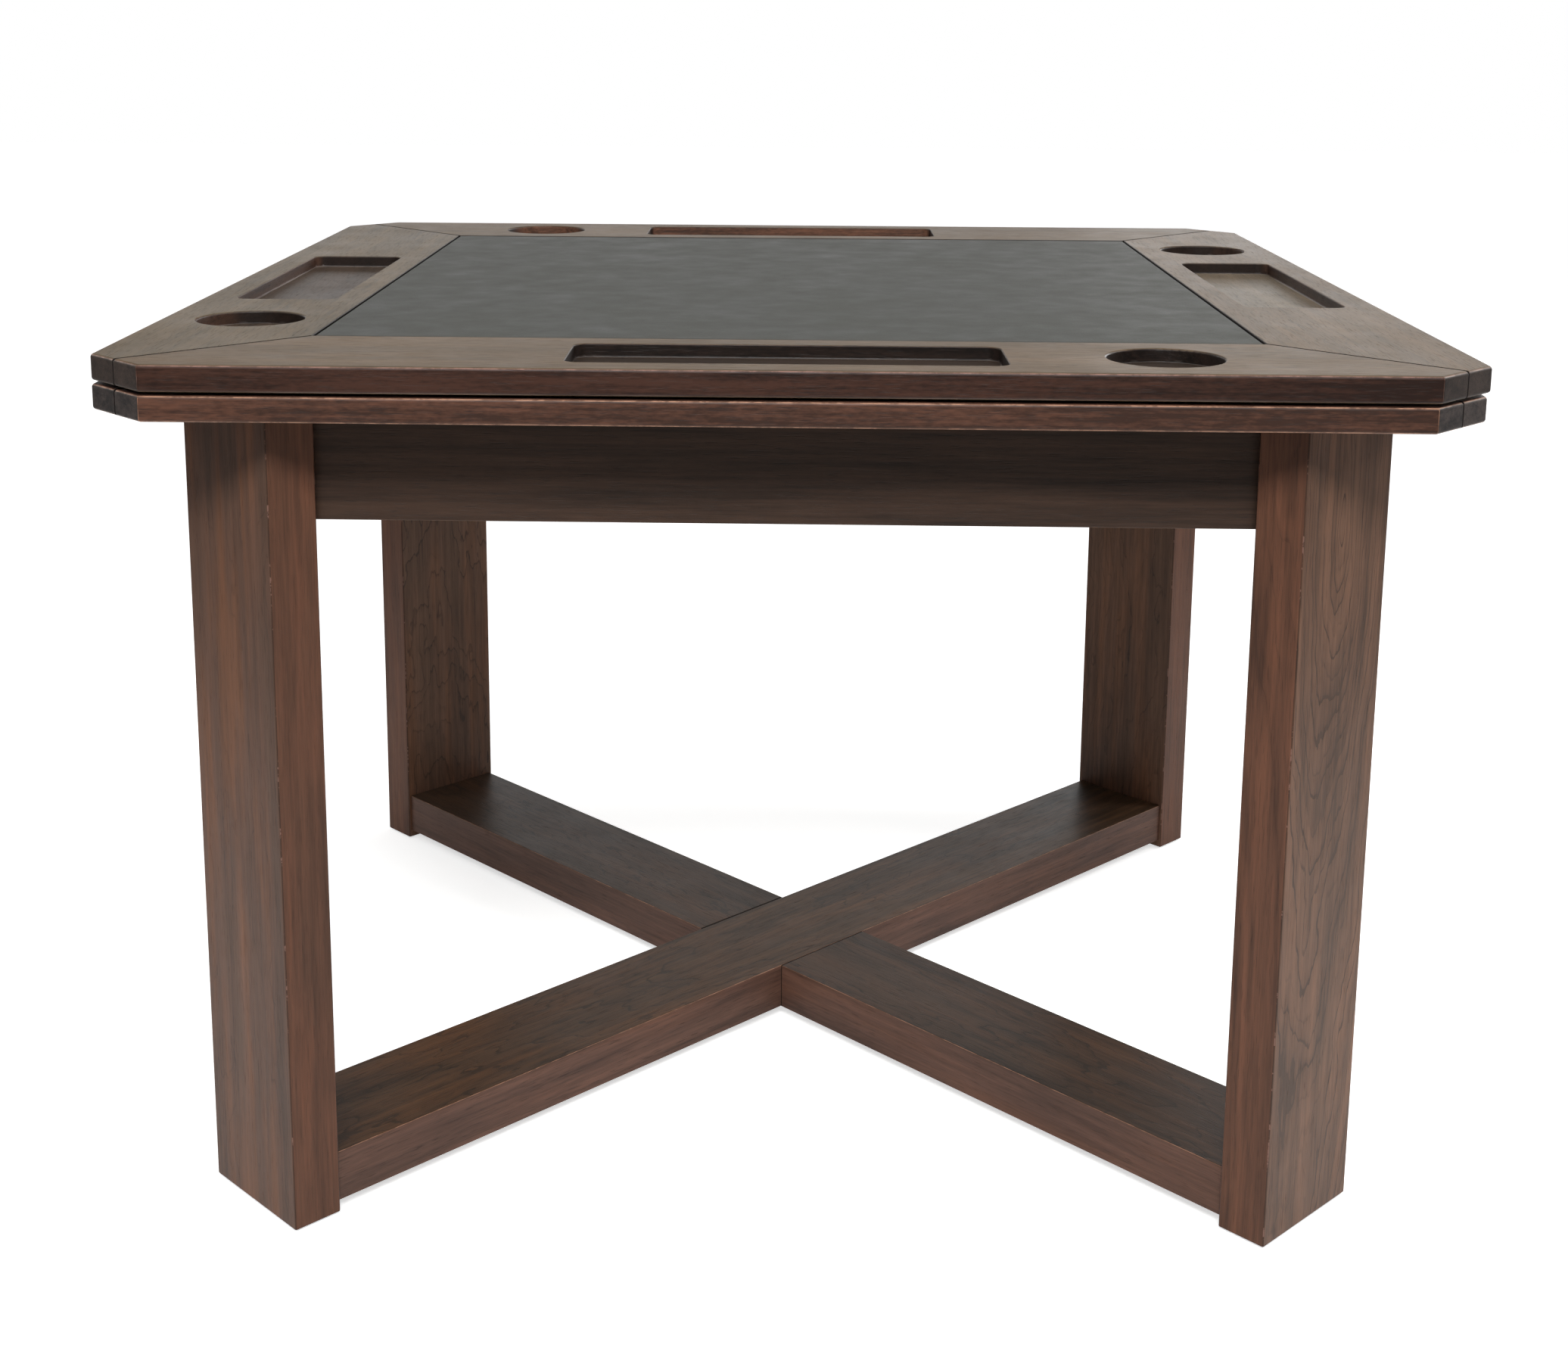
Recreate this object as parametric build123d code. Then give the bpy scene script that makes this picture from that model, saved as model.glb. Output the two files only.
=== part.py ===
from build123d import *

import math
import os

# A square gaming table. A loose, reversible game top rests on a fixed frame of the same outline,
# which four corner posts, four aprons and two crossed stretchers carry.
#
# Millimetres, +Z up. The origin is on the floor under the middle of the table. The front is at -Y,
# the right at +X. Parts of a side are made for the front and turned about Z. Parts of a corner are
# made with +X pointing out along the diagonal and turned about Z.

# ---- Whole table ----
TABLE_WIDTH = 1118.0
TABLE_HEIGHT = 772.0
CORNER_CLIP = 53.0
EDGE_RADIUS = 3.0
SMALL_EASE = 0.8

# ---- Loose game top ----
TOP_THICKNESS = 22.0
TOP_SHIFT = 1.2  # the loose top lies this far to the right of the frame below it
OPENING_HALF = 403.4  # half the square inside the rails
SEAM_SETBACK = 0.3  # each mitred end stands this far back from the seam's middle
SEAM_EASE = 0.6

# ---- Fixed frame under it ----
REVEAL = 2.6  # the shadow line between top and frame
FRAME_THICKNESS = 21.4
FRAME_INSET = 0.8  # the frame is this much smaller than the top on each side

# ---- Chip tray and cup well in each top rail ----
TRAY_LENGTH = 353.0
TRAY_WIDTH = 95.8
TRAY_INBOARD = 31.7  # from the table's edge to the tray
TRAY_DEPTH = 12.0
TRAY_CORNER = 12.0
TRAY_COVE = 2.0
TRAY_RIM = 1.2
CUP_ALONG = 305.5  # from the middle of the rail
CUP_INBOARD = 79.4  # from the table's edge to the cup's middle
CUP_RADIUS = 47.5
CUP_DEPTH = 11.6
CUP_COVE = 1.0
CUP_RIM = 1.8

# ---- What fills the top's opening, from the bottom up ----
PANEL_THICKNESS = 10.0
TONGUE_DEPTH = 9.0
TONGUE_THICKNESS = 5.0
BOARD_THICKNESS = 9.0
FOAM_THICKNESS = 1.6
LEATHER_THICKNESS = 1.2
LEATHER_GAP = 2.8  # between the leather and the rails
LEATHER_ROLL = 2.4
LEATHER_CORNER = 4.0

# ---- Mitre splines ----
SPLINE_LENGTH = 140.0
SPLINE_WIDTH = 24.0
SPLINE_THICKNESS = 6.0
SPLINE_START = 592.0  # from the table's middle, along the diagonal

# ---- Pads that carry the top ----
PAD_RADIUS = 11.0
PAD_ALONG = 217.0
PAD_CLEARANCE = 0.05

# ---- Legs ----
LEG_WIDTH = 131.0
LEG_THICKNESS = 46.0
LEG_OUTER = 657.0  # from the table's middle to the outer face, along the diagonal
LEG_EASE = 1.8
LEG_FOOT_EASE = 1.0
LEG_CLEAR = 2.0  # the foot of the leg above the floor

# ---- Aprons ----
APRON_FACE = 470.0
APRON_THICKNESS = 22.0
APRON_HEIGHT = 98.0

# ---- Corner blocks ----
BLOCK_GAP = 6.0
BLOCK_THICKNESS = 30.0
BLOCK_HEIGHT = 80.0

# ---- Stretchers ----
STRETCHER_WIDTH = 124.0
STRETCHER_HEIGHT = 46.5
STRETCHER_ABOVE_LEG_FOOT = 8.5
BOLT_POCKET_LENGTH = 32.0
BOLT_POCKET_WIDTH = 34.0
BOLT_POCKET_START = 40.0
BOLT_POCKET_ABOVE_BOLT = 10.0
DOWEL_RADIUS = 5.0
DOWEL_HALF_LENGTH = 25.0
DOWEL_ASIDE = 36.0

# ---- Bolts, nuts, washers and screws ----
FIT = 0.05  # radial clearance round each fastener
BOLT_RADIUS = 4.0
BOLT_IN_LEG = 36.0
BOLT_PAST_NUT = 4.0
BOLT_TIP_CHAMFER = 1.0
BLOCK_BOLT_DROPS = (20.0, 60.0)  # below the top of the corner block
NUT_ACROSS_FLATS = 13.0
NUT_THICKNESS = 6.5
WASHER_RADIUS = 8.5
WASHER_THICKNESS = 1.6
SCREW_RADIUS = 2.4
SCREW_HEAD_RADIUS = 4.8
SCREW_DRIVE = 2.6
SCREW_DRIVE_DEPTH = 2.0
BLOCK_SCREW_LENGTH = 34.0
BLOCK_SCREW_ASIDE = 44.0
FRAME_SCREW_LENGTH = 40.0
FRAME_SCREW_IN_FRAME = 15.0
FRAME_SCREW_ASIDE = 24.0
FRAME_SCREW_WELL_RADIUS = 5.5
LAP_SCREW_LENGTH = 38.0
LAP_SCREW_ASIDE = 32.0

# ---- Adjustable feet ----
FOOT_RADIUS = 13.0
FOOT_THICKNESS = 5.0
FOOT_EASE = 0.8
FOOT_WELL_RADIUS = 15.0
FOOT_WELL_DEPTH = 4.0
STEM_RADIUS = 4.0
STEM_LENGTH = 22.0
STEM_HEADROOM = 1.5
INSERT_RADIUS = 6.0
INSERT_LENGTH = 13.0

# ---- Worked out from the above ----
TABLE_HALF = TABLE_WIDTH / 2
FRAME_HALF = TABLE_HALF - FRAME_INSET
TOP_BOTTOM = TABLE_HEIGHT - TOP_THICKNESS
FRAME_TOP = TOP_BOTTOM - REVEAL
FRAME_BOTTOM = FRAME_TOP - FRAME_THICKNESS
LEG_INNER = LEG_OUTER - LEG_THICKNESS
LEG_MIDDLE = LEG_OUTER - LEG_THICKNESS / 2
STRETCHER_BOTTOM = LEG_CLEAR + STRETCHER_ABOVE_LEG_FOOT
STRETCHER_MIDDLE = STRETCHER_BOTTOM + STRETCHER_HEIGHT / 2
STRETCHER_TOP = STRETCHER_BOTTOM + STRETCHER_HEIGHT
BLOCK_OUTER = LEG_INNER - BLOCK_GAP
BLOCK_INNER = BLOCK_OUTER - BLOCK_THICKNESS
BLOCK_BOTTOM = FRAME_BOTTOM - BLOCK_HEIGHT
BLOCK_MIDDLE = (BLOCK_OUTER + BLOCK_INNER) / 2
FRAME_SCREW_BOTTOM = FRAME_BOTTOM + FRAME_SCREW_IN_FRAME - FRAME_SCREW_LENGTH
APRON_BACK = APRON_FACE - APRON_THICKNESS
LEATHER_HALF = OPENING_HALF - LEATHER_GAP
BOARD_HALF = LEATHER_HALF - LEATHER_THICKNESS
PANEL_TOP = TOP_BOTTOM + PANEL_THICKNESS
BOARD_TOP = PANEL_TOP + BOARD_THICKNESS
FOAM_TOP = BOARD_TOP + FOAM_THICKNESS
LEATHER_TOP = FOAM_TOP + LEATHER_THICKNESS
INSERT_TOP = LEG_CLEAR + FOOT_WELL_DEPTH + INSERT_LENGTH
STEM_TOP = FOOT_THICKNESS + STEM_LENGTH

SIDES = {"front": 0, "right": 90, "back": 180, "left": 270}
CORNERS = {"front_left": 225, "front_right": 315, "back_right": 45, "back_left": 135}


# ---- Placing and saving ----
def at_corner(shape, corner):
    """Turns a shape made along +X out to the named corner."""
    return Rot(0, 0, CORNERS[corner]) * shape


def at_side(shape, side):
    """Turns a shape made at the front to the named side."""
    return Rot(0, 0, SIDES[side]) * shape


def outward(shape, start, aside, height):
    """Lays a shape made up +Z along +X, with its base at the given distance, offset and height."""
    return Pos(start, aside, height) * Rot(0, 90, 0) * shape


def rod(radius, length):
    """A round bar standing on Z = 0."""
    return Pos(0, 0, length / 2) * Cylinder(radius, length)


def slab(size_x, size_y, bottom, top):
    """A square-edged block about the Z axis, between two heights."""
    return Pos(0, 0, (bottom + top) / 2) * Box(size_x, size_y, top - bottom)


def save(name, *solids):
    """Writes one node: a single solid, or a group of separate ones."""
    shape = solids[0] if len(solids) == 1 else Compound(children=list(solids))
    export_step(shape, os.path.join("parts", name + ".step"))


# ---- Fasteners, standing on Z = 0 with the head or nut end down ----
def bolt(length):
    """A headless bolt with both ends chamfered."""
    bar = rod(BOLT_RADIUS, length)
    return chamfer(bar.edges().filter_by(GeomType.CIRCLE), BOLT_TIP_CHAMFER)


def nut():
    """A plain hexagon nut."""
    blank = extrude(RegularPolygon(NUT_ACROSS_FLATS / 2, 6, major_radius=False), NUT_THICKNESS)
    return blank - rod(BOLT_RADIUS + FIT, NUT_THICKNESS)


def washer():
    """A flat round washer."""
    return rod(WASHER_RADIUS, WASHER_THICKNESS) - rod(BOLT_RADIUS + FIT, WASHER_THICKNESS)


def screw_body(length, grow=0.0):
    """A countersunk wood screw's outline turned about Z, head at Z = 0 and point up."""
    shank = SCREW_RADIUS + grow
    head = SCREW_HEAD_RADIUS + grow
    outline = Polyline(
        (0, 0),
        (head, 0),
        (shank, head - shank),
        (shank, length - 2 * shank),
        (0, length + grow),
        close=True,
    )
    return revolve(Plane.XZ * make_face(outline), Axis.Z)


def wood_screw(length):
    """A countersunk wood screw with a square drive."""
    drive = slab(SCREW_DRIVE, SCREW_DRIVE, 0, SCREW_DRIVE_DEPTH)
    return screw_body(length) - drive


# ---- Where the fasteners go, made along +X for one corner ----
def block_bolt_heights():
    """Heights of the two bolts that draw a leg to its corner block."""
    return [FRAME_BOTTOM - drop for drop in BLOCK_BOLT_DROPS]


def block_screws(make):
    """The four screws from a corner block into the two aprons beside it."""
    screw = make(BLOCK_SCREW_LENGTH)
    asides = (-BLOCK_SCREW_ASIDE, BLOCK_SCREW_ASIDE)
    heights = block_bolt_heights()
    return [outward(screw, BLOCK_INNER, aside, z) for aside in asides for z in heights]


def frame_screws(make):
    """The two screws up through a corner block into the frame."""
    screw = make(FRAME_SCREW_LENGTH)
    asides = (-FRAME_SCREW_ASIDE, FRAME_SCREW_ASIDE)
    return [Pos(BLOCK_MIDDLE, aside, FRAME_SCREW_BOTTOM) * screw for aside in asides]


def stretcher_dowels(grow=0.0):
    """The two dowels between a leg and the end of a stretcher."""
    start = LEG_INNER - DOWEL_HALF_LENGTH - grow
    bar = rod(DOWEL_RADIUS + grow, 2 * (DOWEL_HALF_LENGTH + grow))
    return [outward(bar, start, side * DOWEL_ASIDE, STRETCHER_MIDDLE) for side in (-1, 1)]


def screw_bore(length):
    """What a wood screw takes out of the wood."""
    return screw_body(length, FIT)


# ---- Mitred frames ----
def clipped_slab(half, bottom, thickness):
    """A square slab with clipped corners, a square opening and softened edges."""
    flat = half - CORNER_CLIP
    outline = Polygon(
        (flat, -half),
        (half, -flat),
        (half, flat),
        (flat, half),
        (-flat, half),
        (-half, flat),
        (-half, -flat),
        (-flat, -half),
        align=None,
    )
    blank = Pos(0, 0, bottom) * extrude(outline, thickness)
    blank = fillet(blank.edges(), EDGE_RADIUS)
    blank -= slab(2 * OPENING_HALF, 2 * OPENING_HALF, bottom, bottom + thickness)
    inner = [e for e in blank.edges().filter_by(Axis.Z, reverse=True) if on_opening(e)]
    return fillet(inner, SMALL_EASE)


def on_opening(edge):
    """Whether an edge lies on the square opening inside the rails."""
    middle = edge.center()
    reach = max(abs(middle.X), abs(middle.Y))
    return abs(reach - OPENING_HALF) < FIT


def mitred_rail(half, bottom, thickness):
    """The front rail cut from its slab, with both mitred ends set back and eased."""
    reach = 2 * half
    start = SEAM_SETBACK * math.sqrt(2)
    sector = Polygon((0, -start), (-reach, -reach - start), (reach, -reach - start), align=None)
    rail = clipped_slab(half, bottom, thickness) & Pos(0, 0, bottom) * extrude(sector, thickness)
    seam_edges = [e for e in rail.edges() if on_seam(e) and not on_opening_post(e)]
    return fillet(seam_edges, SEAM_EASE)


def on_seam(edge):
    """Whether an edge lies in the plane of one of the front rail's mitred ends."""
    distances = [abs(abs(p.X) + p.Y) / math.sqrt(2) for p in (edge @ 0, edge @ 0.5, edge @ 1)]
    return all(abs(d - SEAM_SETBACK) < FIT for d in distances)


def on_opening_post(edge):
    """Whether an edge is at the inner end of a mitre."""
    return abs((edge @ 0.5).Y) < OPENING_HALF + EDGE_RADIUS


def spline(middle_height, grow=0.0):
    """The loose tongue across a mitre, made along +X."""
    blank = Box(SPLINE_LENGTH + grow, SPLINE_WIDTH + grow, SPLINE_THICKNESS)
    return Pos(SPLINE_START + SPLINE_LENGTH / 2, 0, middle_height) * blank


def tray_pocket():
    """The space of the front chip tray."""
    blank = extrude(RectangleRounded(TRAY_LENGTH, TRAY_WIDTH, TRAY_CORNER), TRAY_DEPTH)
    blank = fillet(blank.faces().sort_by(Axis.Z)[0].edges(), TRAY_COVE)
    middle = TABLE_HALF - TRAY_INBOARD - TRAY_WIDTH / 2
    return Pos(0, -middle, TABLE_HEIGHT - TRAY_DEPTH) * blank


def cup_pocket():
    """The space of the front cup well."""
    blank = rod(CUP_RADIUS, CUP_DEPTH)
    blank = fillet(blank.faces().sort_by(Axis.Z)[0].edges(), CUP_COVE)
    return Pos(CUP_ALONG, CUP_INBOARD - TABLE_HALF, TABLE_HEIGHT - CUP_DEPTH) * blank


def in_box(edge, low, high):
    """Whether an edge's middle is over the given rectangle, at the table's top."""
    middle = edge.bounding_box().center()
    inside = low[0] < middle.X < high[0] and low[1] < middle.Y < high[1]
    return inside and abs(middle.Z - TABLE_HEIGHT) < FIT


def top_rail():
    """The front rail of the game top, with its chip tray, cup well and panel groove."""
    rail = mitred_rail(TABLE_HALF, TOP_BOTTOM, TOP_THICKNESS)
    rail = rail - tray_pocket() - cup_pocket()
    outer = EDGE_RADIUS - TABLE_HALF
    inner = -OPENING_HALF - EDGE_RADIUS
    tray_half = TRAY_LENGTH / 2 + 1
    tray_rim = [e for e in rail.edges() if in_box(e, (-tray_half, outer), (tray_half, inner))]
    rail = fillet(tray_rim, TRAY_RIM)
    cup_low = CUP_ALONG - CUP_RADIUS
    cup_high = CUP_ALONG + CUP_RADIUS
    cup_rim = [e for e in rail.edges() if in_box(e, (cup_low, outer), (cup_high, inner))]
    rail = fillet(cup_rim, CUP_RIM)
    rail -= dining_panel()
    for corner in ("front_left", "front_right"):
        rail -= at_corner(spline(TOP_BOTTOM + TOP_THICKNESS / 2), corner)
    return rail


def frame_rail():
    """The front rail of the fixed frame."""
    rail = mitred_rail(FRAME_HALF, FRAME_BOTTOM, FRAME_THICKNESS)
    for corner in ("front_left", "front_right"):
        rail -= at_corner(spline(FRAME_TOP - FRAME_THICKNESS / 2), corner)
        for bore in frame_screws(screw_bore):
            rail -= at_corner(bore, corner)
    return rail


# ---- The middle of the game top ----
def dining_panel():
    """The panel that carries the playing board and is the dining face when the top is turned over."""
    size = 2 * OPENING_HALF
    tongue_size = size + 2 * TONGUE_DEPTH
    tongue_bottom = TOP_BOTTOM + (PANEL_THICKNESS - TONGUE_THICKNESS) / 2
    tongue = slab(tongue_size, tongue_size, tongue_bottom, tongue_bottom + TONGUE_THICKNESS)
    return slab(size, size, TOP_BOTTOM, PANEL_TOP) + tongue


def playing_surface():
    """The leather, wrapped over the foam and down the edges of the board."""
    outer = Pos(0, 0, PANEL_TOP) * extrude(
        RectangleRounded(2 * LEATHER_HALF, 2 * LEATHER_HALF, LEATHER_CORNER),
        LEATHER_TOP - PANEL_TOP,
    )
    outer = fillet(outer.faces().sort_by(Axis.Z)[-1].edges(), LEATHER_ROLL)
    return outer - board_block(PANEL_TOP, FOAM_TOP)


def board_block(bottom, top):
    """The board's outline between two heights."""
    corner = LEATHER_CORNER - LEATHER_THICKNESS
    outline = RectangleRounded(2 * BOARD_HALF, 2 * BOARD_HALF, corner)
    return Pos(0, 0, bottom) * extrude(outline, top - bottom)


# ---- The base ----
def pads():
    """The two pads on the front rail of the frame."""
    thickness = REVEAL - PAD_CLEARANCE
    pad = rod(PAD_RADIUS, thickness)
    inboard = CUP_INBOARD - TABLE_HALF
    return [Pos(side * PAD_ALONG, inboard, FRAME_TOP) * pad for side in (-1, 1)]


def leg():
    """A corner post, made along +X, with its holes for bolts, dowels and foot."""
    height = FRAME_BOTTOM - LEG_CLEAR
    post = Box(LEG_THICKNESS, LEG_WIDTH, height)
    post = fillet(post.edges().filter_by(Axis.Z), LEG_EASE)
    post = fillet(post.faces().sort_by(Axis.Z)[0].edges(), LEG_FOOT_EASE)
    post = Pos(LEG_MIDDLE, 0, LEG_CLEAR + height / 2) * post
    for z in (STRETCHER_MIDDLE, *block_bolt_heights()):
        post -= outward(rod(BOLT_RADIUS + FIT, BOLT_IN_LEG + FIT), LEG_INNER, 0, z)
    for dowel in stretcher_dowels(FIT):
        post -= dowel
    foot_well = rod(FOOT_WELL_RADIUS, FOOT_WELL_DEPTH)
    insert_hole = rod(INSERT_RADIUS, INSERT_TOP - LEG_CLEAR)
    stem_hole = rod(STEM_RADIUS + 2 * FIT, STEM_TOP + STEM_HEADROOM - LEG_CLEAR)
    for hole in (foot_well, insert_hole, stem_hole):
        post -= Pos(LEG_MIDDLE, 0, LEG_CLEAR) * hole
    return post


def apron():
    """The front apron, its ends cut to lie against the legs' inner faces."""
    ends = LEG_INNER * math.sqrt(2)
    face_half = ends - APRON_FACE
    back_half = ends - APRON_BACK
    outline = Polygon(
        (-face_half, -APRON_FACE),
        (face_half, -APRON_FACE),
        (back_half, -APRON_BACK),
        (-back_half, -APRON_BACK),
        align=None,
    )
    board = Pos(0, 0, FRAME_BOTTOM - APRON_HEIGHT) * extrude(outline, APRON_HEIGHT)
    lower_front = board.edges().filter_by(Axis.X).group_by(Axis.Z)[0].sort_by(Axis.Y)[0]
    board = fillet(lower_front, SMALL_EASE)
    for corner in ("front_left", "front_right"):
        for bore in block_screws(screw_bore):
            board -= at_corner(bore, corner)
    return board


def corner_block():
    """The block that ties two aprons and takes the leg's bolts, made along +X."""
    span = APRON_BACK * math.sqrt(2)
    outline = Polygon(
        (BLOCK_OUTER, BLOCK_OUTER - span),
        (BLOCK_OUTER, span - BLOCK_OUTER),
        (BLOCK_INNER, span - BLOCK_INNER),
        (BLOCK_INNER, BLOCK_INNER - span),
        align=None,
    )
    block = Pos(0, 0, BLOCK_BOTTOM) * extrude(outline, BLOCK_HEIGHT)
    for z in block_bolt_heights():
        block -= outward(rod(BOLT_RADIUS + FIT, BLOCK_THICKNESS), BLOCK_INNER, 0, z)
    for bore in block_screws(screw_bore) + frame_screws(screw_bore):
        block -= bore
    well = rod(FRAME_SCREW_WELL_RADIUS, FRAME_SCREW_BOTTOM - BLOCK_BOTTOM)
    for aside in (-FRAME_SCREW_ASIDE, FRAME_SCREW_ASIDE):
        block -= Pos(BLOCK_MIDDLE, aside, BLOCK_BOTTOM) * well
    return block


def stretcher(on_top):
    """One of the crossed boards, made along X, halved at the middle where the other crosses it."""
    board = slab(2 * LEG_INNER, STRETCHER_WIDTH, STRETCHER_BOTTOM, STRETCHER_TOP)
    board = fillet(board.edges().filter_by(Axis.X), SMALL_EASE)
    low = STRETCHER_BOTTOM if on_top else STRETCHER_MIDDLE
    board -= slab(STRETCHER_WIDTH, STRETCHER_WIDTH, low, low + STRETCHER_HEIGHT / 2)
    pocket_top = STRETCHER_MIDDLE + BOLT_POCKET_ABOVE_BOLT
    pocket = slab(BOLT_POCKET_LENGTH, BOLT_POCKET_WIDTH, STRETCHER_BOTTOM, pocket_top)
    pocket_middle = LEG_INNER - BOLT_POCKET_START - BOLT_POCKET_LENGTH / 2
    bolt_bore = outward(
        rod(BOLT_RADIUS + FIT, BOLT_POCKET_START),
        LEG_INNER - BOLT_POCKET_START,
        0,
        STRETCHER_MIDDLE,
    )
    for turn in (0, 180):
        for cut in (Pos(pocket_middle, 0, 0) * pocket, bolt_bore, *stretcher_dowels(FIT)):
            board -= Rot(0, 0, turn) * cut
    for bore in lap_screws(screw_bore):
        board -= bore
    return board


def lap_screws(make):
    """The four screws up through the halved joint, set square to the boards."""
    screw = make(LAP_SCREW_LENGTH)
    asides = (-LAP_SCREW_ASIDE, LAP_SCREW_ASIDE)
    return [Pos(x, y, STRETCHER_BOTTOM) * screw for x in asides for y in asides]


def bolt_stack(inner_face, z):
    """A bolt from the leg through to an inner face, with its washer and nut."""
    washer_start = inner_face - WASHER_THICKNESS
    nut_start = washer_start - NUT_THICKNESS
    bolt_start = nut_start - BOLT_PAST_NUT
    bolt_end = LEG_INNER + BOLT_IN_LEG
    return {
        "bolts": outward(bolt(bolt_end - bolt_start), bolt_start, 0, z),
        "washers": outward(washer(), washer_start, 0, z),
        "nuts": outward(nut(), nut_start, 0, z),
    }


# ---- Adjustable feet, made along +X ----
def foot():
    """The round pad that stands on the floor."""
    disc = rod(FOOT_RADIUS, FOOT_THICKNESS)
    disc = fillet(disc.edges().filter_by(GeomType.CIRCLE), FOOT_EASE)
    return Pos(LEG_MIDDLE, 0, 0) * disc


def stem():
    """The threaded stem of a foot."""
    return Pos(LEG_MIDDLE, 0, FOOT_THICKNESS) * rod(STEM_RADIUS, STEM_LENGTH)


def insert():
    """The threaded insert in the leg that a foot's stem turns in."""
    sleeve = rod(INSERT_RADIUS, INSERT_LENGTH) - rod(STEM_RADIUS + FIT, INSERT_LENGTH)
    return Pos(LEG_MIDDLE, 0, INSERT_TOP - INSERT_LENGTH) * sleeve


def main():
    os.makedirs("parts", exist_ok=True)
    shift = Pos(TOP_SHIFT, 0, 0)

    top_front = top_rail()
    frame_front = frame_rail()
    apron_front = apron()
    for side in SIDES:
        save("top_rail_" + side, shift * at_side(top_front, side))
        save("frame_rail_" + side, at_side(frame_front, side))
        save("apron_" + side, at_side(apron_front, side))

    post = leg()
    block = corner_block()
    foot_pad = foot()
    foot_stem = stem()
    for corner in CORNERS:
        save("leg_" + corner, at_corner(post, corner))
        save("corner_block_" + corner, at_corner(block, corner))
        save("foot_pad_" + corner, at_corner(foot_pad, corner))
        save("foot_stem_" + corner, at_corner(foot_stem, corner))

    save("stretcher_upper", at_corner(stretcher(on_top=True), "front_left"))
    save("stretcher_lower", at_corner(stretcher(on_top=False), "front_right"))

    save("dining_panel", shift * dining_panel())
    save("playing_board", shift * board_block(PANEL_TOP, BOARD_TOP))
    save("foam_underlay", shift * board_block(BOARD_TOP, FOAM_TOP))
    save("playing_surface", shift * playing_surface())

    top_middle = TOP_BOTTOM + TOP_THICKNESS / 2
    frame_middle = FRAME_TOP - FRAME_THICKNESS / 2
    save("top_splines", *[shift * at_corner(spline(top_middle), c) for c in CORNERS])
    save("frame_splines", *[at_corner(spline(frame_middle), c) for c in CORNERS])
    save("bumper_pads", *[at_side(pad, side) for side in SIDES for pad in pads()])

    block_stacks = [bolt_stack(BLOCK_INNER, z) for z in block_bolt_heights()]
    stretcher_stack = bolt_stack(LEG_INNER - BOLT_POCKET_START, STRETCHER_MIDDLE)
    for part in ("bolts", "washers", "nuts"):
        save("leg_" + part, *[at_corner(stack[part], c) for c in CORNERS for stack in block_stacks])
        save("stretcher_" + part, *[at_corner(stretcher_stack[part], c) for c in CORNERS])

    save("block_screws", *[at_corner(s, c) for c in CORNERS for s in block_screws(wood_screw)])
    save("frame_screws", *[at_corner(s, c) for c in CORNERS for s in frame_screws(wood_screw)])
    save("lap_screws", *[at_corner(s, "front_left") for s in lap_screws(wood_screw)])
    save("stretcher_dowels", *[at_corner(d, c) for c in CORNERS for d in stretcher_dowels()])
    save("foot_inserts", *[at_corner(insert(), c) for c in CORNERS])


main()
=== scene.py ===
import math

import bmesh
import bpy
from mathutils import Matrix, Vector, noise


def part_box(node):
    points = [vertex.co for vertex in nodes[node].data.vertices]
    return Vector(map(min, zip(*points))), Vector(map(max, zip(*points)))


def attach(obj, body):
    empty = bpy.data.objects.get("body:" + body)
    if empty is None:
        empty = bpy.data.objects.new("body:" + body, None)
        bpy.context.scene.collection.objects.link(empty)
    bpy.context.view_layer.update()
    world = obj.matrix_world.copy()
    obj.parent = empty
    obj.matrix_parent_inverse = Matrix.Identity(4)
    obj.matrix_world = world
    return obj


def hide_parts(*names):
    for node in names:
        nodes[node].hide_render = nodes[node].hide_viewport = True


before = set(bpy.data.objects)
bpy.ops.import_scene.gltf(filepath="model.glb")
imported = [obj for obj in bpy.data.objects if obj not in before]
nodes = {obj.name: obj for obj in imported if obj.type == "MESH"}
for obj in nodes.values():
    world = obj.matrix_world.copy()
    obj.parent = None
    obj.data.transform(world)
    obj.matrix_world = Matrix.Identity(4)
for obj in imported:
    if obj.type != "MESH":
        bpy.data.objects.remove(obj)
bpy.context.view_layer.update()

MM = 0.001
SIDES = {"front": 0, "right": 90, "back": 180, "left": 270}
CORNERS = {"front_left": 225, "front_right": 315, "back_right": 45, "back_left": 135}


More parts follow.
